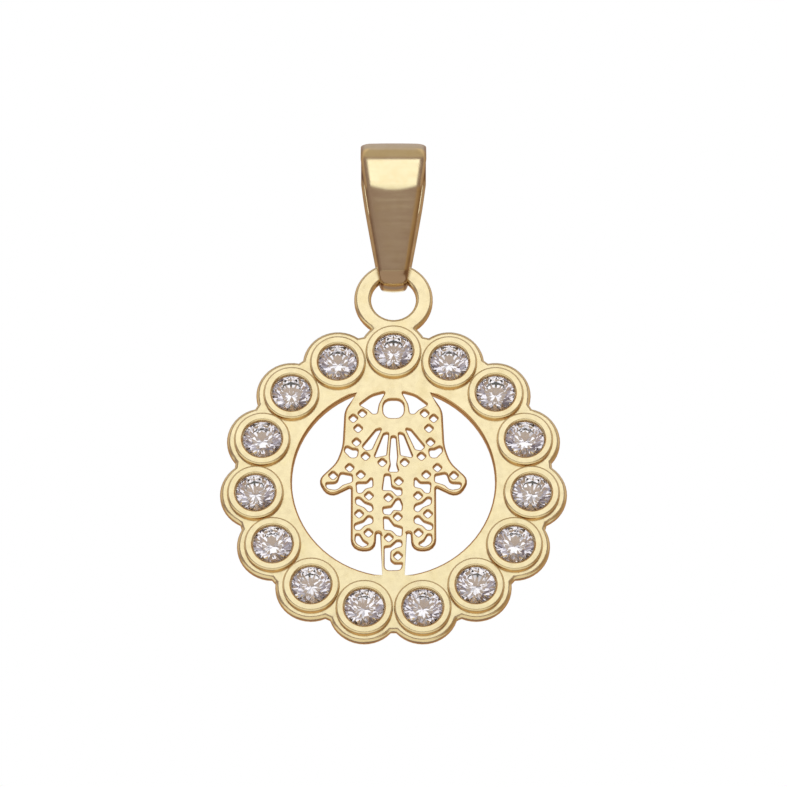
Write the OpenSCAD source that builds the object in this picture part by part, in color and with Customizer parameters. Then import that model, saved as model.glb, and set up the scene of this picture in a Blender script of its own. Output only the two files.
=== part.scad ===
// Hamsa pendant: a pierced hand inside a scalloped ring of bezel-set round stones,
// hanging by a flat eye from a tapered strip bail.
// Millimetres, +Z up, front towards -Y. The origin is where a chain bears in the bail.

/* [Ring] */
// Number of stones round the ring
stone_count = 15; // [12:1:18]
// Outer diameter of each raised stone cup
cup_d = 3.24; // [3:0.02:3.6]
// Gap between neighbouring cups
cup_gap = 0.05; // [0.03:0.01:0.2]
// Width of flat lip outside each cup
lip_w = 0.41; // [0.3:0.01:0.6]
// Width of flat band between the cups and the big hole
band_w = 0.49; // [0.3:0.01:0.9]
// How far the notch between two scallops is filled above the cup centres
notch_fill = 1.2; // [1.1:0.05:1.4]
// Thickness of the ring plate
plate_t = 0.6; // [0.55:0.05:1]
// Rounding of the ring plate's outer edge
rim_round = 0.23; // [0.1:0.01:0.27]

/* [Stone cups] */
// Height of each cup above the front of the plate
cup_rise = 0.3; // [0.25:0.01:0.45]
// Height of each collar behind the plate
collar_h = 0.5; // [0.45:0.05:0.8]
// Wall of the collar outside the stone's girdle
collar_wall = 0.32; // [0.2:0.02:0.4]
// Rounding of the cup's outer top edge
cup_round = 0.13; // [0.08:0.01:0.2]
// Width of the flat top of the cup
land_w = 0.3; // [0.2:0.01:0.33]
// Depth of the sloping inner edge of the cup
bevel_h = 0.12; // [0.1:0.01:0.2]
// Diameter of the light hole behind each stone
light_hole_d = 1.5; // [1:0.05:1.6]

/* [Stones] */
// Girdle diameter of a stone
stone_d = 2.24; // [2:0.02:2.3]
// Width of the table, corner to corner
table_d = 1.3; // [1.1:0.02:1.4]
// Thickness of the girdle
girdle_t = 0.04; // [0.03:0.01:0.06]
// Angle of the crown's main facets
crown_angle = 34.5; // [30:0.5:36]
// Angle of the pavilion's main facets
pavilion_angle = 42; // [39:0.25:42.5]
// Distance from the girdle's middle to the middle of the star facets' points
star_d = 1.81; // [1.74:0.01:1.85]
// Diameter at which the lower girdle facets meet
lower_d = 0.52; // [0.4:0.02:0.7]
// Depth of the girdle below the top of the cup
girdle_drop = 0.32; // [0.28:0.01:0.36]
// Clearance round each stone
stone_clear = 0.03; // [0.02:0.01:0.05]
// How far the cup's lip reaches in over the girdle
lip_grip = 0.03; // [0.02:0.01:0.06]

/* [Hand] */
// Thickness of the pierced hand
hand_t = 0.4; // [0.35:0.05:0.5]

/* [Eye] */
// Diameter of the hole in the eye
eye_hole_d = 2.62; // [2.5:0.02:2.8]
// Width of the eye's flat ring
eye_band = 0.98; // [0.85:0.01:1.02]
// Distance from the middle of the top stone to the middle of the eye
eye_rise = 3.42; // [3.4:0.02:3.6]
// Rounding of the eye's edges
eye_round = 0.2; // [0.12:0.01:0.22]

/* [Bail] */
// Overall height of the bail
bail_h = 9.34; // [8.6:0.02:11]
// Greatest width of the bail
bail_w = 3.86; // [3.4:0.02:4.4]
// Width of the strip at the foot of the bail
tip_w = 1.48; // [1.3:0.02:1.6]
// Depth of the bail from front to back
bail_depth = 3.95; // [3.9:0.05:4.5]
// Thickness of the strip
strip_t = 0.4; // [0.38:0.01:0.46]
// Inner radius of the bend that holds the eye
bend_r = 0.75; // [0.72:0.01:0.85]
// Clearance between the bend and the eye at rest, which lets the eye turn freely
seat_gap = 0.12; // [0.1:0.01:0.2]
// Lean of the two leaves away from each other
leaf_tilt = 10; // [8:0.5:11]
// Radius where a leaf turns upright at the shoulder
shoulder_r = 3; // [2:0.1:4]
// Radius of the bail's top corners, seen from the side
top_r = 1.95; // [1.6:0.05:2]
// Width of the bevel along the strip's outer edges
outer_bevel = 0.3; // [0.2:0.01:0.35]
// Depth of the bevel along the strip's outer edges
bevel_drop = 0.13; // [0.08:0.01:0.15]
// Width and depth of the bevel along the strip's inner edges
inner_bevel = 0.15; // [0.1:0.01:0.17]
// Crown of the strip's outer face, middle above edges
crown_rise = 0.05; // [0.02:0.01:0.08]

/* [Hidden] */
$fn = 64;
stone_names = [for (k = [1 : stone_count]) str("stone_", k < 10 ? "0" : "", k)];
gold = "#e8d08a";
crystal = "#e6e2ea";
arc_steps = 3;
corner_steps = 4;
bend_steps = 10;
leaf_steps = 8;
// A cutter reaches this far past what it cuts
overcut = 0.5;

// Ring, worked out from the stones
stone_step = 360 / stone_count;
ring_r = (cup_d + cup_gap) / 2 / sin(stone_step / 2);
scallop_r = cup_d / 2 + lip_w;
hole_r = ring_r - cup_d / 2 - band_w;
notch_r = ring_r + notch_fill;
plate_half = plate_t / 2;

// Share of the bail's height at which the strip reaches its full width, and how
// fully its sides curve on the way there (1 is straight)
widening_end = 0.83;
widening_curve = 1.12;

// Eye and bail, from the origin downwards
eye_hole_r = eye_hole_d / 2;
eye_r = eye_hole_r + eye_band;
bend_outer = bend_r + strip_t;
apex_z = strip_t;
foot_z = apex_z - bail_h;
bend_z = foot_z + bend_outer;
seat_half = bail_half_width(foot_z + strip_t) - inner_bevel;
seat_rise = sqrt(pow(eye_hole_r, 2) - pow(seat_half, 2));
eye_z = bend_z - bend_r + seat_gap - seat_rise;
disc_z = eye_z - eye_rise - ring_r;

// Cup, measured outwards from its own axis and forwards from the plate's middle
cup_r = cup_d / 2;
cup_top = plate_half + cup_rise;
cup_back = -plate_half - collar_h;
stone_r = stone_d / 2;
collar_r = stone_r + collar_wall;
girdle_level = cup_top - girdle_drop;
pocket_r = stone_r + stone_clear;
opening_r = stone_r - lip_grip;
land_in_r = cup_r - cup_round - land_w;
girdle_half = girdle_t / 2;

// Points of an arc about a centre, from one angle to another
function arc(centre, r, from, to, steps) =
    [for (k = [0 : steps]) let (a = from + (to - from) * k / steps)
        centre + r * [cos(a), sin(a)]];

function unit(v) = v / norm(v);

function turn_between(from, to) = (to - from + 540) % 360 - 180;

function heading(v) = atan2(v.y, v.x);

// One corner of an outline, rounded with radius r
function corner(before, at, after, r) =
    r <= 0 ? [at] :
    let (
        back = unit(before - at),
        ahead = unit(after - at),
        half = acos(max(-1, min(1, back * ahead))) / 2,
        room = 0.48 * min(norm(before - at), norm(after - at)),
        reach = min(r / tan(half), room),
        fit_r = reach * tan(half),
        centre = at + unit(back + ahead) * fit_r / sin(half),
        start = heading(at + back * reach - centre),
        turn = turn_between(start, heading(at + ahead * reach - centre))
    )
    arc(centre, fit_r, start, start + turn, corner_steps);

// A closed outline from rows of x, z and corner radius, all times a scale
function rounded(rows, scale = 1) =
    let (n = len(rows))
    [for (i = [0 : n - 1]) let (
            a = rows[(i + n - 1) % n],
            b = rows[i],
            c = rows[(i + 1) % n])
        each corner([a[0], a[1]] * scale, [b[0], b[1]] * scale, [c[0], c[1]] * scale, b[2] * scale)];

// The same rows on the other side of the middle line, in reverse order
function mirrored(rows) =
    [for (i = [len(rows) - 1 : -1 : 0]) [-rows[i][0], rows[i][1], rows[i][2]]];

// The hand is drawn on a grid with 58 steps from the big hole's middle to its edge,
// so that it always fills the hole. Its wrist and middle finger run into the ring.
hand_grid = hole_r / 58;

// Right half of the hand's outline, from the wrist down: x, z, corner radius
hand_half = [
    [16.8, 60, 0],
    [28.2, 43.4, 13],
    [29.2, 21, 28],
    [32.6, 11, 16],
    [43.4, 0.2, 5.5],
    [37, -10.7, 6.2],
    [24.3, -4.2, 0.7],
    [24.3, -42.6, 6.7],
    [10.3, -42.6, 6.7],
    [9.7, -32, 0.9],
    [7.6, -32, 0.9],
    [6.2, -60, 0]
];

// Openings that come in pairs: rows of x, z, corner radius on the right side
crescent = [
    [4.6, 54.8, 0.7],
    [12.5, 52.5, 12],
    [19.8, 46.6, 0.8],
    [14.5, 43.5, 3],
    [12, 41, 1.2],
    [9.5, 41, 1.2],
    [8.5, 47, 5]
];
outer_ray = [
    [6.8, 32, 0.6],
    [9.9, 31, 1.6],
    [17.9, 20.6, 1.3],
    [15.6, 18.3, 1.4],
    [12.5, 19, 1.2]
];
inner_ray = [
    [2.9, 29.4, 0.8],
    [5.6, 28.4, 1.6],
    [11.1, 13.8, 0.8],
    [4.2, 15.4, 0.8]
];
side_bean = [
    [20.3, 19.2, 1.6],
    [23.5, 19.2, 2.4],
    [27.4, 21.3, 1.5],
    [27.9, 17.6, 2],
    [24.5, 13.9, 2],
    [21, 13.9, 2]
];
thumb_wave = [
    [23.8, 3.3, 1.2],
    [30.2, 4.6, 1.6],
    [32, -1.5, 3],
    [38.6, -1.8, 1],
    [38, -5, 2.2],
    [32.5, -6, 4],
    [29, -2.8, 4],
    [23.6, -1, 1.4]
];
knuckle_top = [
    [12.2, 2, 0.6],
    [15, -1.5, 2.6],
    [21.2, -1.5, 1.3],
    [20.5, -8, 1.4],
    [18, -7.5, 1.4],
    [16, -5, 2.6],
    [12, -4, 1]
];
knuckle_upper = [
    [21.4, -11, 1.6],
    [21.2, -14.5, 1.6],
    [16.5, -16.5, 3],
    [14, -19.5, 1.6],
    [11.7, -18, 1.6],
    [12.5, -15, 1.8],
    [16.5, -13.5, 3],
    [19.5, -10.5, 1.6]
];
knuckle_lower = [
    [12, -23, 1.3],
    [14, -21.5, 1.5],
    [17, -25, 3],
    [22, -26.8, 1.6],
    [22, -30.2, 1.6],
    [19, -30.2, 1.6],
    [16.5, -27.5, 3],
    [12, -26, 1.4]
];
finger_tip = [
    [21.3, -33, 1],
    [21.8, -38, 4],
    [17.5, -40.5, 2],
    [13.8, -39, 0.8],
    [17.5, -36.5, 3],
    [19.5, -33, 1]
];
paired_openings = [
    crescent, outer_ray, inner_ray, side_bean, thumb_wave,
    knuckle_top, knuckle_upper, knuckle_lower, finger_tip
];

// Openings on the middle line or the middle finger: rows of x, z, corner radius
wrist_window = [
    [-5.9, 50, 4.4],
    [5.9, 50, 4.4],
    [5.9, 38.3, 4.4],
    [-5.9, 38.3, 4.4]
];
middle_ray = [
    [-1.2, 26.9, 1.1],
    [1.2, 26.9, 1.1],
    [2.1, 14.5, 6],
    [1.5, 9.9, 2],
    [2.9, 5.2, 0.9],
    [-2.9, 5.2, 0.9],
    [-1.5, 9.9, 2],
    [-2.1, 14.5, 6]
];
boot = [
    [-5, 3.5, 1.2],
    [-2, 3.5, 1.2],
    [-1.3, -3.5, 2],
    [1.5, -5, 1.5],
    [4.5, -5, 1.2],
    [4.5, -9, 1],
    [2, -9.5, 1],
    [-1, -6.2, 1.5],
    [-6.2, -6, 0.7]
];
upper_flame = [
    [3.2, -11, 0.8],
    [4.8, -15, 2],
    [4.5, -18.5, 0.7],
    [0, -18, 1.5],
    [-2, -21, 1.2],
    [-5.5, -20.5, 1.2],
    [-6, -16.8, 1],
    [-1, -16, 2],
    [1.5, -12, 1]
];
lower_flame = [
    [-5.5, -22.5, 0.7],
    [-3, -23, 0.8],
    [0, -27.2, 2],
    [4.8, -28.8, 1],
    [4.5, -34, 0.8],
    [2, -33.5, 1],
    [-1, -30.5, 2],
    [-5.2, -30, 0.7]
];
hook = [
    [2, -36.8, 1.2],
    [4.5, -36.8, 1.2],
    [4.5, -40, 1],
    [1, -41.2, 1.5],
    [-1.8, -43, 2],
    [-2, -48.5, 3],
    [0.5, -50.4, 1.5],
    [4.8, -50.4, 0.3],
    [4.2, -54.4, 2.5],
    [-5, -54.6, 2.5],
    [-5, -40.5, 0.7],
    [-1.5, -40, 1]
];
middle_openings = [wrist_window, middle_ray, boot, upper_flame, lower_flame, hook];

// Small diamond openings: x, z of the middle
paired_diamonds = [
    [17.9, 41.1],
    [23.1, 38],
    [20.3, 31.8],
    [21.2, 23.3],
    [16, 14.6],
    [6.4, 10.8],
    [25.1, 7.6],
    [34.5, 2.8],
    [18.7, 3.3],
    [14, -9.6],
    [19.6, -20.6],
    [14.2, -32.1]
];
middle_diamonds = [
    [3, -0.7],
    [-2.9, -10.7],
    [2.4, -22.4],
    [-2.7, -35],
    [2.5, -46]
];
// Half the diagonal of a small diamond, and its corner radius
diamond_reach = 2.6;
diamond_corner = 0.9;

// Half of the strip's width at a height
function bail_half_width(z) =
    let (left = max(0, 1 - (z - foot_z) / (bail_h * widening_end)))
    (bail_w - (bail_w - tip_w) * pow(left, widening_curve)) / 2;

// Local frame of the ring: x to the right, y up, z towards the front
module facing_front() {
    translate([0, 0, disc_z]) rotate([90, 0, 0]) children();
}

// Puts its children on the axis of stone number k, counted clockwise from the top
module at_stone(k) {
    turn = 90 - k * stone_step;
    translate([ring_r * cos(turn), ring_r * sin(turn), 0]) rotate([0, 0, turn]) children();
}

// A flat disc with rounded rims
module rounded_disc(r, t, round) {
    half = t / 2;
    rotate_extrude()
        polygon(concat(
            [[0, -half]],
            arc([r - round, round - half], round, -90, 0, arc_steps),
            arc([r - round, half - round], round, 0, 90, arc_steps),
            [[0, half]]));
}

// Cutter for a round hole whose rims are rounded
module rounded_bore(r, t, round) {
    half = t / 2;
    rotate_extrude()
        polygon(concat(
            [[0, -half - overcut], [r + round, -half - overcut]],
            arc([r + round, round - half], round, 270, 180, arc_steps),
            arc([r + round, half - round], round, 180, 90, arc_steps),
            [[r + round, half + overcut], [0, half + overcut]]));
}

// One raised cup with its collar behind the plate, still solid
module cup_body() {
    rotate_extrude()
        polygon(concat(
            [[0, cup_back], [collar_r, cup_back], [collar_r, 0], [cup_r, 0]],
            arc([cup_r - cup_round, cup_top - cup_round], cup_round, 0, 90, arc_steps),
            [[0, cup_top]]));
}

// Cutter for a cup: sloping inner edge, lip, girdle seat, pavilion seat and light hole
module cup_pocket() {
    lip_under = girdle_level + girdle_half + stone_clear;
    seat_level = girdle_level - girdle_half;
    light_r = light_hole_d / 2;
    cone_h = (pocket_r - light_r) * tan(pavilion_angle);
    rotate_extrude()
        polygon([
            [0, cup_top + overcut],
            [land_in_r, cup_top + overcut],
            [land_in_r, cup_top],
            [opening_r, cup_top - bevel_h],
            [opening_r, lip_under],
            [pocket_r, lip_under],
            [pocket_r, seat_level],
            [light_r, seat_level - cone_h],
            [light_r, cup_back - overcut],
            [0, cup_back - overcut]
        ]);
}

// The hand in its plane, with every opening cut out
module hand_shape() {
    difference() {
        polygon(rounded(concat(hand_half, mirrored(hand_half)), hand_grid));
        for (rows = paired_openings) {
            polygon(rounded(rows, hand_grid));
            polygon(rounded(mirrored(rows), hand_grid));
        }
        for (rows = middle_openings)
            polygon(rounded(rows, hand_grid));
        for (spot = paired_diamonds, side = [-1, 1])
            diamond([side * spot.x, spot.y]);
        for (spot = middle_diamonds)
            diamond(spot);
    }
}

module diamond(spot) {
    rows = [for (a = [0 : 90 : 270])
        [spot.x + diamond_reach * cos(a), spot.y + diamond_reach * sin(a), diamond_corner]];
    polygon(rounded(rows, hand_grid));
}

// The scalloped plate with the big hole and the eye's hole open
module ring_plate() {
    difference() {
        union() {
            rounded_disc(notch_r, plate_t, rim_round);
            for (k = [0 : stone_count - 1])
                at_stone(k) rounded_disc(scallop_r, plate_t, rim_round);
            translate([0, ring_r + eye_rise, 0]) rounded_disc(eye_r, plate_t, eye_round);
        }
        cylinder(r = hole_r, h = plate_t + 2 * overcut, center = true);
        translate([0, ring_r + eye_rise, 0]) rounded_bore(eye_hole_r, plate_t, eye_round);
    }
}

module medallion() {
    color(gold) facing_front() difference() {
        union() {
            ring_plate();
            translate([0, 0, plate_half - hand_t]) linear_extrude(hand_t) hand_shape();
            for (k = [0 : stone_count - 1])
                at_stone(k) cup_body();
        }
        for (k = [0 : stone_count - 1])
            at_stone(k) cup_pocket();
    }
}

// Stations on an arc of the bail's side outline: point, angle of the outward normal
function arc_stations(centre, r, from, to, steps) =
    [for (k = [0 : steps]) let (a = from + (to - from) * k / steps)
        [centre + r * [cos(a), sin(a)], a]];

// Stations strictly between two others that share one normal
function straight_stations(a, b, steps) =
    [for (k = [1 : 1 : steps - 1]) [a[0] + (b[0] - a[0]) * k / steps, a[1]]];

// The front half of the bail's side outline, from the foot to the top
function half_stations() =
    let (
        half_depth = bail_depth / 2,
        shoulder_y = half_depth - shoulder_r,
        slide = (cos(leaf_tilt) * shoulder_y - bend_outer + shoulder_r) / sin(leaf_tilt),
        bend = arc_stations([0, bend_z], bend_outer, -90, -leaf_tilt, bend_steps),
        shoulder = arc_stations([shoulder_y, bend_z + slide], shoulder_r, -leaf_tilt, 0, arc_steps),
        top = arc_stations([half_depth - top_r, apex_z - top_r], top_r, 0, 90, bend_steps)
    )
    concat(
        bend,
        straight_stations(bend[bend_steps], shoulder[0], leaf_steps),
        shoulder,
        straight_stations(shoulder[arc_steps], top[0], arc_steps),
        top);

// The strip's cross-section for a half-width: x, depth below the outer face
function strip_section(half) =
    let (flat = half - outer_bevel, edge = crown_rise + bevel_drop, inner = half - inner_bevel)
    [
        [-flat, crown_rise],
        [-flat / 2, crown_rise / 4],
        [0, 0],
        [flat / 2, crown_rise / 4],
        [flat, crown_rise],
        [half, edge],
        [half, strip_t - inner_bevel],
        [inner, strip_t],
        [-inner, strip_t],
        [-half, strip_t - inner_bevel],
        [-half, edge]
    ];

module bail() {
    front = half_stations();
    back = [for (i = [len(front) - 1 : -1 : 1])
        [[-front[i][0].x, front[i][0].y], 180 - front[i][1]]];
    stations = concat(front, back);
    rings = len(stations);
    sides = len(strip_section(1));
    points = [for (s = stations) each [for (q = strip_section(bail_half_width(s[0].y)))
        [q.x, s[0].x - q.y * cos(s[1]), s[0].y - q.y * sin(s[1])]]];
    faces = [for (i = [0 : rings - 1], j = [0 : sides - 1]) let (
            here = i * sides,
            next = (i + 1) % rings * sides,
            k = (j + 1) % sides)
        each [[here + j, next + k, next + j], [here + j, here + k, next + k]]];
    color(gold) polyhedron(points, faces);
}

// A round brilliant: 8 main facets, 8 stars and 16 girdle facets above, 24 facets below.
// Its axis is z, with the middle of the girdle at zero.
module brilliant() {
    r_table = table_d / 2;
    r_star = star_d / 2;
    r_lower = lower_d / 2;
    crown = tan(crown_angle);
    pavilion = tan(pavilion_angle);
    z_table = girdle_half + (stone_r - r_table) * crown;
    z_star = girdle_half + (stone_r - r_star * cos(22.5)) * crown;
    z_lower = -girdle_half - (stone_r - r_lower * cos(22.5)) * pavilion;
    z_culet = -girdle_half - stone_r * pavilion;
    table = [for (i = [0 : 7]) [r_table * cos(45 * i), r_table * sin(45 * i), z_table]];
    star = [for (i = [0 : 7]) [r_star * cos(45 * i + 22.5), r_star * sin(45 * i + 22.5), z_star]];
    upper = [for (i = [0 : 15]) [stone_r * cos(22.5 * i), stone_r * sin(22.5 * i), girdle_half]];
    lower = [for (i = [0 : 15]) [stone_r * cos(22.5 * i), stone_r * sin(22.5 * i), -girdle_half]];
    joint = [for (i = [0 : 7]) [r_lower * cos(45 * i + 22.5), r_lower * sin(45 * i + 22.5), z_lower]];
    // First index of each ring of points
    s0 = 8;
    u0 = 16;
    l0 = 32;
    j0 = 48;
    culet = 56;
    faces = concat(
        [[for (i = [7 : -1 : 0]) i]],
        [for (i = [0 : 7]) [i, (i + 1) % 8, s0 + i]],
        [for (i = [0 : 7]) [i, s0 + i, u0 + 2 * i, s0 + (i + 7) % 8]],
        [for (i = [0 : 7]) [s0 + i, u0 + 2 * i + 1, u0 + 2 * i]],
        [for (i = [0 : 7]) [s0 + i, u0 + (2 * i + 2) % 16, u0 + 2 * i + 1]],
        [for (i = [0 : 15]) [u0 + i, u0 + (i + 1) % 16, l0 + (i + 1) % 16, l0 + i]],
        [for (i = [0 : 7]) [l0 + 2 * i, l0 + 2 * i + 1, j0 + i]],
        [for (i = [0 : 7]) [l0 + 2 * i + 1, l0 + (2 * i + 2) % 16, j0 + i]],
        [for (i = [0 : 7]) [l0 + 2 * i, j0 + i, culet, j0 + (i + 7) % 8]]);
    polyhedron(concat(table, star, upper, lower, joint, [[0, 0, z_culet]]), faces);
}

module stone(k) {
    color(crystal) facing_front() at_stone(k) translate([0, 0, girdle_level]) brilliant();
}

bail();
medallion();
for (k = [0 : stone_count - 1])
    stone(k);
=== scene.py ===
import math

import bmesh
import bpy
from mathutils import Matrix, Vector


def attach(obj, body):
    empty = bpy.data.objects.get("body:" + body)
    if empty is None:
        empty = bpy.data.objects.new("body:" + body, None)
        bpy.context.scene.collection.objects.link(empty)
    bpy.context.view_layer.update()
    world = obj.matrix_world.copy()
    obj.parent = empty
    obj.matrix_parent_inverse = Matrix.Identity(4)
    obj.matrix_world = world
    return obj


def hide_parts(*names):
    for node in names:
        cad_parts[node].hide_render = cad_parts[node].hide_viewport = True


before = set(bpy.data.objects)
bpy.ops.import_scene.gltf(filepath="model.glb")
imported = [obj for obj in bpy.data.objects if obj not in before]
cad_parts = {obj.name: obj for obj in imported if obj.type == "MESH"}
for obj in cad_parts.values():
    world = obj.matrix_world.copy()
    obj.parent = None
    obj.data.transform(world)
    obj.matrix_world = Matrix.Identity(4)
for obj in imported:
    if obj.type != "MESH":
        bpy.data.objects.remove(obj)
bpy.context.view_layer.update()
MM = 0.001
DEGREES = 180 / math.pi
CLOSE = 1e-6  # places this near count as one
SHARP = math.radians(50)  # edges past this are eased, and shaded apart
# Places on the medallion, as in the part's source
PLATE_HALF, HAND_BACK, HOLE_R, DISC_Z = 0.3 * MM, 0.1 * MM, 5.802 * MM, -20.884 * MM


def new_material(name):
    mat = bpy.data.materials.new(name)
    mat.use_nodes = True
    return mat, mat.node_tree, mat.node_tree.nodes["Principled BSDF"]


def node(tree, kind, **values):
    made = tree.nodes.new(kind)
    for key, value in values.items():
        if key.startswith("in_"):
            made.inputs[key[3:].replace("_", " ")].default_value = value
        else:
            setattr(made, key, value)
    return made


def stretched_noise(tree, scale, detail=4.0, stretch=(1, 1, 1), rough=0.55):
    """Noise in the piece's own metres; stretch squeezes it along an axis."""
    coord = node(tree, "ShaderNodeTexCoord")
    mapping = node(tree, "ShaderNodeMapping")
    mapping.inputs["Scale"].default_value = stretch
    noise = node(tree, "ShaderNodeTexNoise", in_Scale=scale, in_Detail=detail, in_Roughness=rough)
    tree.links.new(coord.outputs["Object"], mapping.inputs["Vector"])
    tree.links.new(mapping.outputs["Vector"], noise.inputs["Vector"])
    return noise.outputs["Fac"]


def maths(tree, operation, a, b=None):
    """A maths node's result; a and b are sockets or numbers."""
    made = node(tree, "ShaderNodeMath", operation=operation)
    for i, value in enumerate((a, b)):
        if isinstance(value, (int, float)):
            made.inputs[i].default_value = value
        elif value is not None:
            tree.links.new(value, made.inputs[i])
    return made.outputs[0]


def coordinate(tree, output):
    """The X, Y and Z sockets of a texture coordinate."""
    coord = node(tree, "ShaderNodeTexCoord")
    split = node(tree, "ShaderNodeSeparateXYZ")
    tree.links.new(coord.outputs[output], split.inputs["Vector"])
    return split.outputs


def mapped(tree, source, low, high, to_low=0.0, to_high=1.0, interpolation="LINEAR"):
    ranged = node(tree, "ShaderNodeMapRange", interpolation_type=interpolation)
    ranged.inputs["From Min"].default_value = low
    ranged.inputs["From Max"].default_value = high
    ranged.inputs["To Min"].default_value = to_low
    ranged.inputs["To Max"].default_value = to_high
    tree.links.new(source, ranged.inputs["Value"])
    return ranged.outputs["Result"]


def ramp(tree, source, stops):
    made = node(tree, "ShaderNodeValToRGB")
    elements = made.color_ramp.elements
    elements[0].position, elements[0].color = stops[0][0], (*stops[0][1], 1)
    elements[1].position, elements[1].color = stops[-1][0], (*stops[-1][1], 1)
    for place, colour in stops[1:-1]:
        elements.new(place).color = (*colour, 1)
    tree.links.new(source, made.inputs["Fac"])
    return made.outputs["Color"]


def bump_chain(tree, layers):
    """Bump nodes in a row, each (height socket, strength, distance)."""
    before = None
    for height, strength, distance in layers:
        made = node(tree, "ShaderNodeBump", in_Strength=strength, in_Distance=distance)
        tree.links.new(height, made.inputs["Height"])
        if before is not None:
            tree.links.new(before, made.inputs["Normal"])
        before = made.outputs["Normal"]
    return before


def mixed(tree, factor, a, b):
    """Colour a where the factor is 0, b where it is 1; either may be a socket."""
    made = node(tree, "ShaderNodeMix", data_type="RGBA")
    tree.links.new(factor, made.inputs["Factor"])
    for title, value in (("A", a), ("B", b)):
        socket = [s for s in made.inputs if s.name == title and s.type == "RGBA"][0]
        if isinstance(value, tuple):
            socket.default_value = (*value, 1)
        else:
            tree.links.new(value, socket)
    return [s for s in made.outputs if s.type == "RGBA"][0]


def turned_away(tree, axis, low, high):
    """1 where the surface faces away from an axis of the piece, 0 where it faces along it."""
    size = maths(tree, "ABSOLUTE", coordinate(tree, "Normal")[axis])
    return mapped(tree, size, low, high, 1.0, 0.0)


def facing_down(tree):
    """1 where the surface's normal points down by between 0.3 and 0.84, else 0."""
    up = coordinate(tree, "Normal")["Z"]
    return maths(tree, "MULTIPLY", mapped(tree, up, -0.22, -0.35), mapped(tree, up, -0.86, -0.83))


def gold_material(name, tint, shaded_wall_tint, away, roughness, grain, depth, underside_shade=None):
    """Plated gold: paler on its faces, browner on its walls and rims by painted shade, and
    darker on its underside by painted shade where a tint for that is given. away is an axis
    and the sizes of the normal along it between which wall turns to face."""
    mat, tree, shader = new_material(name)
    shader.inputs["Metallic"].default_value = 1.0
    pale = (min(1.0, tint[0] * 1.03), tint[1] * 1.035, tint[2] * 1.06)
    deep = (tint[0] * 0.96, tint[1] * 0.94, tint[2] * 0.88)
    cloud = stretched_noise(tree, 900, 8, rough=0.68)
    face = ramp(tree, cloud, [(0.32, deep), (0.5, tint), (0.68, pale)])
    # Walls and rims turned away from the face take a browner gold: painted shade that stands in
    # for the darker reflections they catch, varied by noise
    shade_noise = stretched_noise(tree, 1500, 3)
    dark_wall = tuple(c * 0.8 for c in shaded_wall_tint)
    wall = ramp(tree, shade_noise, [(0.3, dark_wall), (0.7, shaded_wall_tint)])
    colour = mixed(tree, turned_away(tree, *away), face, wall)
    # Where a tint is given, faces pointing down take it as a darker painted shade
    if underside_shade:
        colour = mixed(tree, facing_down(tree), colour, underside_shade)
    tree.links.new(colour, shader.inputs["Base Color"])
    fine = stretched_noise(tree, 2600, 5, grain)
    rough = mapped(tree, fine, 0.3, 0.7, *roughness)
    tree.links.new(rough, shader.inputs["Roughness"])
    soft = stretched_noise(tree, 1400, 2)
    normal = bump_chain(tree, [(soft, 0.4, 0.35e-6), (fine, 0.5, depth)])
    tree.links.new(normal, shader.inputs["Normal"])
    return mat


GOLD_TINT = (0.92, 0.82, 0.535)
# Painted shade: the browner gold of walls and rims, and the deeper brown of eased edges
WALL_SHADE_TINT = (0.80, 0.55, 0.27)
EDGE_SHADE_TINT = (0.60, 0.38, 0.17)
plate_gold = gold_material(
    "plate_gold", GOLD_TINT, WALL_SHADE_TINT, ("Y", 0.1, 0.5), (0.18, 0.28), (1, 1, 1), 0.25e-6
)
# The eased edges' gold is painted shade: a browner gold with deeper brown walls, drawn as dark
# outlines
edge_gold_shaded = gold_material(
    "edge_gold_shaded", WALL_SHADE_TINT, EDGE_SHADE_TINT, ("Y", 0.6, 0.98), (0.2, 0.3), (1, 1, 1), 0.25e-6
)
# The bail's sides turned along X get a browner painted shade, and its downward-facing bend a
# darker painted shade
bail_gold = gold_material(
    "bail_gold", GOLD_TINT, (0.62, 0.475, 0.295), ("X", 0.5, 0.22), (0.13, 0.22),
    (0.12, 1, 1.6), 0.5e-6, underside_shade=(0.39, 0.28, 0.195),
)


def crystal_material(name):
    mat, tree, shader = new_material(name)
    shader.inputs["Transmission Weight"].default_value = 1.0
    shader.inputs["IOR"].default_value = 1.99
    shader.inputs["Roughness"].default_value = 0.0
    cloud = stretched_noise(tree, 500, 2)
    colour = ramp(tree, cloud, [(0.3, (0.955, 0.95, 0.97)), (0.7, (1.0, 0.995, 1.0))])
    tree.links.new(colour, shader.inputs["Base Color"])
    fine = stretched_noise(tree, 3000, 3)
    rough = mapped(tree, fine, 0.3, 0.7, 0.0, 0.02)
    tree.links.new(rough, shader.inputs["Roughness"])
    return mat


crystal = crystal_material("crystal_clear")


def mesh_object(name, bm, materials, body):
    mesh = bpy.data.meshes.new(name)
    bm.to_mesh(mesh)
    bm.free()
    made = bpy.data.objects.new(name, mesh)
    bpy.context.scene.collection.objects.link(made)
    for material in materials:
        mesh.materials.append(material)
    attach(made, body)
    return made


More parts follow.
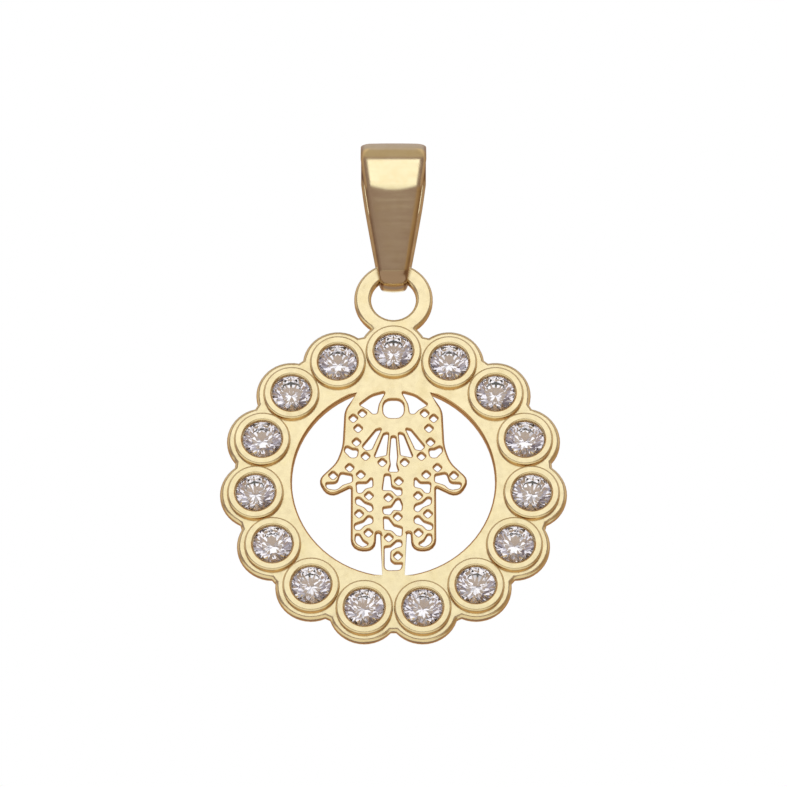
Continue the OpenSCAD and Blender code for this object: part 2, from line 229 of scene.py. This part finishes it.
def even_normals(bm):
    """Corner normals that follow the largest flat region at each vertex, so that faces
    stay flat right up to their eased edges."""
    bm.faces.index_update()
    region = list(range(len(bm.faces)))

    def root(i):
        while region[i] != i:
            region[i] = region[region[i]]
            i = region[i]
        return i

    for edge in bm.edges:
        if edge.is_manifold and edge.calc_face_angle() < math.radians(0.5):
            a, b = (f.index for f in edge.link_faces)
            region[root(a)] = root(b)
    area = {}
    for face in bm.faces:
        key = root(face.index)
        area[key] = area.get(key, 0.0) + face.calc_area()
    weight = [area[root(i)] ** 1.5 for i in range(len(bm.faces))]
    normals = []
    for face in bm.faces:
        for loop in face.loops:
            total = Vector((0, 0, 0))
            for other in loop.vert.link_faces:
                if other is face or face.normal.angle(other.normal, math.pi) < SHARP:
                    total += other.normal * weight[other.index]
            normals.append(total.normalized() if total.length > 0 else face.normal.copy())
    return normals


def long_loops(edges, least_height):
    """The edges whose joined run of edges is at least so tall."""
    runs = []
    left = dict.fromkeys(edges)
    while left:
        run, ends = [], [left.popitem()[0]]
        while ends:
            edge = ends.pop()
            run.append(edge)
            for vert in edge.verts:
                for other in vert.link_edges:
                    if other in left:
                        del left[other]
                        ends.append(other)
        heights = [v.co.z for e in run for v in e.verts]
        if max(heights) - min(heights) >= least_height:
            runs += run
    return runs


# How the medallion's edges are eased, in millimetres: the hand's long outer line, the
# ring's opening, the openings in the hand, and the rest
EASED = (("outline", 0.13), ("hole", 0.1), ("hand", 0.075), ("other", 0.04))
LEAST_OUTLINE = 5 * MM
# The plate gold, and the edge gold whose brown is painted shade
PLATE, EDGE = 0, 1  # places of the two golds on the mesh


def medallion_piece():
    """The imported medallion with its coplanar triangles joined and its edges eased."""
    bm = bmesh.new()
    bm.from_mesh(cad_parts["medallion"].data)
    bmesh.ops.remove_doubles(bm, verts=bm.verts, dist=1e-7)
    bmesh.ops.dissolve_limit(
        bm, angle_limit=math.radians(0.3), verts=bm.verts, edges=bm.edges, delimit=set()
    )

    def edge_kind(edge):
        flat = all(
            abs(abs(v.co.y) - PLATE_HALF) < CLOSE or abs(v.co.y - HAND_BACK) < CLOSE
            for v in edge.verts
        )
        reach = [(v.co.xz - Vector((0, DISC_Z))).length - HOLE_R for v in edge.verts]
        if flat and all(abs(r) < 0.01 * MM for r in reach):
            return "hole"
        return "hand" if flat and reach[0] < 0 else "other"

    def convex_edges(wanted):
        return [
            e for e in bm.edges
            if e.is_manifold and e.calc_face_angle_signed() > SHARP
            and edge_kind(e) == wanted
        ]

    outline = long_loops(convex_edges("hand"), LEAST_OUTLINE)
    for face in bm.faces:
        face.material_index = PLATE
    for wanted, width in EASED:
        edges = outline if wanted == "outline" else convex_edges(wanted)
        made_faces = bmesh.ops.bevel(
            bm, geom=edges, offset=width * MM, offset_type="OFFSET", segments=2, profile=0.5,
            affect="EDGES", clamp_overlap=False, material=EDGE,
        )["faces"]
        # Eased edges take the edge gold's painted shade, except the small downward-facing ones,
        # which keep the plate gold
        for face in made_faces:
            face.normal_update()
            faces_down = face.normal.z < -0.03
            face.material_index = PLATE if wanted == "other" and faces_down else EDGE
    bm.normal_update()
    for face in bm.faces:
        face.smooth = True
    normals = even_normals(bm)
    made = mesh_object("medallion_cast", bm, [plate_gold, edge_gold_shaded], "medallion")
    made.data.normals_split_custom_set(normals)
    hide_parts("medallion")


# Bail sizes in millimetres, as in the part's source
BAIL_H, BAIL_W, TIP_W, BAIL_DEPTH, STRIP_T = 9.34, 3.86, 1.48, 3.95, 0.4
BEND_R, LEAF_TILT, SHOULDER_R, TOP_R = 0.75, math.radians(10), 3.0, 1.95
WIDENING_END, WIDENING_CURVE = 0.83, 1.12
FOOT_Z = STRIP_T - BAIL_H


def bail_half_width(z):
    left = max(0.0, 1 - (z - FOOT_Z) / (BAIL_H * WIDENING_END))
    return (BAIL_W - (BAIL_W - TIP_W) * left ** WIDENING_CURVE) / 2


def arc_stations(y, z, r, start, end, steps, crown):
    made = []
    for k in range(steps + 1):
        a = start + (end - start) * k / steps
        made.append((y + r * math.cos(a), z + r * math.sin(a), a, crown(k / steps)))
    return made


def between(a, b, steps):
    made = []
    for k in range(1, steps):
        t = k / steps
        made.append(tuple(a[i] + (b[i] - a[i]) * t for i in range(4)))
    return made


def bail_stations():
    """Side outline of the back half, foot to top: y, z, angle of the normal, crown."""
    outer = BEND_R + STRIP_T
    bend_z = FOOT_Z + outer
    half = BAIL_DEPTH / 2
    shoulder_y = half - SHOULDER_R
    slide = (math.cos(LEAF_TILT) * shoulder_y - outer + SHOULDER_R) / math.sin(LEAF_TILT)
    leaf, upright = 0.055, 0.018
    bend = arc_stations(0, bend_z, outer, -math.pi / 2, -LEAF_TILT, 22, lambda t: leaf)
    shoulder = arc_stations(
        shoulder_y, bend_z + slide, SHOULDER_R, -LEAF_TILT, 0, 10,
        lambda t: leaf + (upright - leaf) * t,
    )
    top = arc_stations(half - TOP_R, STRIP_T - TOP_R, TOP_R, 0, math.pi / 2, 26, lambda t: upright)
    return (
        bend + between(bend[-1], shoulder[0], 24) + shoulder
        + between(shoulder[-1], top[0], 8) + top
    )


def curve(a, b, c, steps):
    """Points after a on the quadratic curve a, b, c."""
    made = []
    for k in range(1, steps + 1):
        t = k / steps
        shares = ((1 - t) ** 2, 2 * t * (1 - t), t * t)
        made.append(tuple(
            shares[0] * a[i] + shares[1] * b[i] + shares[2] * c[i] for i in (0, 1)
        ))
    return made


def strip_section(half, crown):
    """One side of the strip's section from the middle outwards: x, depth below the crown."""
    flat = 0.74 * half
    points = [(flat * k / 8, crown * (k / 8) ** 2) for k in range(9)]
    # The outer corner, the short side, and the inner corner in two bends
    points += curve(points[-1], (half - 0.04, crown + 0.05), (half, 0.22), 10)
    points.append((half, 0.24))
    points += curve(points[-1], (half, 0.27), (half - 0.04, 0.3), 3)
    points.append((half - 0.1, 0.36))
    points += curve(points[-1], (half - 0.14, STRIP_T), (half - 0.18, STRIP_T), 3)
    points.append((0, STRIP_T))
    return points


def bail_piece():
    back = bail_stations()
    front = [(-y, z, math.pi - a, crown) for y, z, a, crown in reversed(back[1:-1])]
    stations = back + front
    bm = bmesh.new()
    rings = []
    for y, z, a, crown in stations:
        side = strip_section(bail_half_width(z), crown)
        section = side + [(-x, d) for x, d in reversed(side[1:-1])]
        rings.append([
            bm.verts.new(Vector((x, y - d * math.cos(a), z - d * math.sin(a))) * MM)
            for x, d in section
        ])
    count = len(rings[0])
    for i in range(len(rings)):
        here, ahead = rings[i], rings[(i + 1) % len(rings)]
        for j in range(count):
            k = (j + 1) % count
            bm.faces.new((here[j], here[k], ahead[k], ahead[j]))
    bmesh.ops.recalc_face_normals(bm, faces=bm.faces)
    made = mesh_object("bail_strip", bm, [bail_gold], "bail")
    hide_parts("bail")
    made.data.shade_smooth()
    made.data.set_sharp_from_angle(angle=math.radians(60))
    even = made.modifiers.new("even_faces", "WEIGHTED_NORMAL")
    even.keep_sharp = True
    even.weight = 80


medallion_piece()
bail_piece()

for name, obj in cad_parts.items():
    if name.startswith("stone_"):
        obj.data.materials.clear()
        obj.data.materials.append(crystal)
        obj.data.shade_flat()


def pale_floor():
    bm = bmesh.new()
    bmesh.ops.create_grid(bm, x_segments=2, y_segments=2, size=1.5)
    bmesh.ops.translate(bm, verts=bm.verts, vec=(0, 0, -0.16))
    mesh = bpy.data.meshes.new("floor")
    bm.to_mesh(mesh)
    bm.free()
    floor = bpy.data.objects.new("floor", mesh)
    bpy.context.scene.collection.objects.link(floor)
    mat, tree, shader = new_material("floor_white")
    shader.inputs["Base Color"].default_value = (0.86, 0.86, 0.86, 1)
    shader.inputs["Roughness"].default_value = 0.9
    mesh.materials.append(mat)
    floor.visible_glossy = False
    floor.visible_transmission = False


pale_floor()


def studio_world():
    """White behind the object, and a light of its own for the gold, the stones and the
    floor. Heights and swings are in degrees: above the horizon, and away from the front."""
    world = bpy.data.worlds.new("studio")
    bpy.context.scene.world = world
    world.use_nodes = True
    tree = world.node_tree
    tree.nodes.clear()

    def smooth(value, low, high):
        return mapped(tree, value, low, high, interpolation="SMOOTHSTEP")

    def times(a, b):
        return maths(tree, "MULTIPLY", a, b)

    def box(value, low, high, edge):
        """1 between low and high, with soft edges so wide."""
        up = smooth(value, low - edge / 2, low + edge / 2)
        down = smooth(value, high - edge / 2, high + edge / 2)
        return maths(tree, "SUBTRACT", up, down)

    def spots(scale, low, high):
        coord = node(tree, "ShaderNodeTexCoord")
        patches = node(tree, "ShaderNodeTexNoise", in_Scale=scale, in_Detail=0.0)
        tree.links.new(coord.outputs["Generated"], patches.inputs["Vector"])
        return smooth(patches.outputs["Fac"], low, high)

    def layered(colour, *layers):
        """A colour under layers, each a mask and the colour that it brings where it is 1."""
        for mask, over in layers:
            colour = mixed(tree, mask, colour, over)
        return colour

    x, y, z = coordinate(tree, "Generated")
    height = times(maths(tree, "ARCSINE", z), DEGREES)
    around = times(maths(tree, "ARCTAN2", x, times(y, -1)), DEGREES)
    swing = maths(tree, "ABSOLUTE", around)

    dark_front = (0.288, 0.2095, 0.195)
    overhead = (0.46, 0.37, 0.28)
    side = (0.66, 0.53, 0.40)
    low_front = (0.86, 0.77, 0.62)
    low_right = (0.36, 0.235, 0.13)
    low_back = (0.50, 0.33, 0.20)
    zenith = (0.48, 0.42, 0.44)
    rear_light = (0.95, 0.92, 0.85)
    back = layered(
        low_back,
        (smooth(height, 15, 60), zenith),
        (smooth(height, -30, -45), dark_front),
    )
    # The softbox is brightest towards its top edge, so the eye is paler than the ring
    softbox = layered((1.10, 1.08, 1.0), (smooth(height, 22.4, 25.5), (1.26, 1.2, 1.16)))
    mirrored = layered(
        dark_front,
        (smooth(height, 41, 50), overhead),
        (smooth(height, 79, 84), zenith),
        (times(smooth(swing, 40, 54), smooth(height, 4, 12)), side),
        (smooth(height, -6, -15), low_front),
        (times(box(around, 23, 100, 14), box(height, -36, 9, 10)), low_right),
        (smooth(swing, 85, 110), back),
        # Straight behind, and too narrow for the walls to mirror it in the front view
        (smooth(y, 0.962, 0.978), rear_light),
        (times(box(swing, -1, 20, 6), box(height, 11.5, 36.5, 2.5)), softbox),
    )

    # The stones gather a white star, taupe above it, and broken light and shade around
    shade, grey = (0.17, 0.15, 0.18), (0.52, 0.50, 0.57)
    pale_grey = (0.45, 0.43, 0.48)
    lilac = (0.40, 0.36, 0.40)
    taupe = (0.40, 0.30, 0.23)
    rear_brown = (0.45, 0.36, 0.27)
    sparkle = (1.15, 1.13, 1.2)
    star = layered((0.62, 0.6, 0.64), (spots(14, 0.36, 0.42), (1.2, 1.18, 1.22)))
    gathered = layered(
        shade,
        (spots(2.6, 0.45, 0.56), grey),
        (times(smooth(height, -20, -27), smooth(swing, 27, 22)), lilac),
        (spots(7, 0.57, 0.61), sparkle),
        (times(box(height, -14, 3, 3), smooth(swing, 42, 37)), taupe),
        (times(box(height, -25, -12, 4), smooth(swing, 32, 27)), taupe),
        (smooth(height, 14, 20), pale_grey),
        (times(box(swing, -1, 62, 10), box(height, 3.5, 40, 3)), star),
        (smooth(swing, 100, 120), rear_brown),
    )

    path = node(tree, "ShaderNodeLightPath")
    light = layered(
        mirrored,
        (path.outputs["Is Transmission Ray"], gathered),
        (path.outputs["Is Diffuse Ray"], (1, 1, 1)),
    )
    lamp = node(tree, "ShaderNodeBackground")
    tree.links.new(light, lamp.inputs["Color"])
    white = node(tree, "ShaderNodeBackground", in_Color=(1, 1, 1, 1))
    blend = node(tree, "ShaderNodeMixShader")
    out = node(tree, "ShaderNodeOutputWorld")
    tree.links.new(path.outputs["Is Camera Ray"], blend.inputs["Fac"])
    tree.links.new(lamp.outputs[0], blend.inputs[1])
    tree.links.new(white.outputs[0], blend.inputs[2])
    tree.links.new(blend.outputs[0], out.inputs["Surface"])


studio_world()

# Camera: below the plate's normal, as the photograph is taken
TILT = math.radians(22.5)
DISTANCE = 217 * MM
AIM = Vector((0, -0.3, -15.55)) * MM
camera_data = bpy.data.cameras.new("camera")
camera = bpy.data.objects.new("camera", camera_data)
bpy.context.scene.collection.objects.link(camera)
camera.location = AIM - DISTANCE * Vector((0, math.cos(TILT), math.sin(TILT)))
camera.rotation_euler = (math.pi / 2 + TILT, 0, 0)
camera_data.lens = 172.3
camera_data.sensor_width = 36
camera_data.clip_start = 0.01
camera_data.clip_end = 10
bpy.context.scene.camera = camera

scene = bpy.context.scene
scene.view_settings.view_transform = "Standard"
scene.view_settings.look = "None"
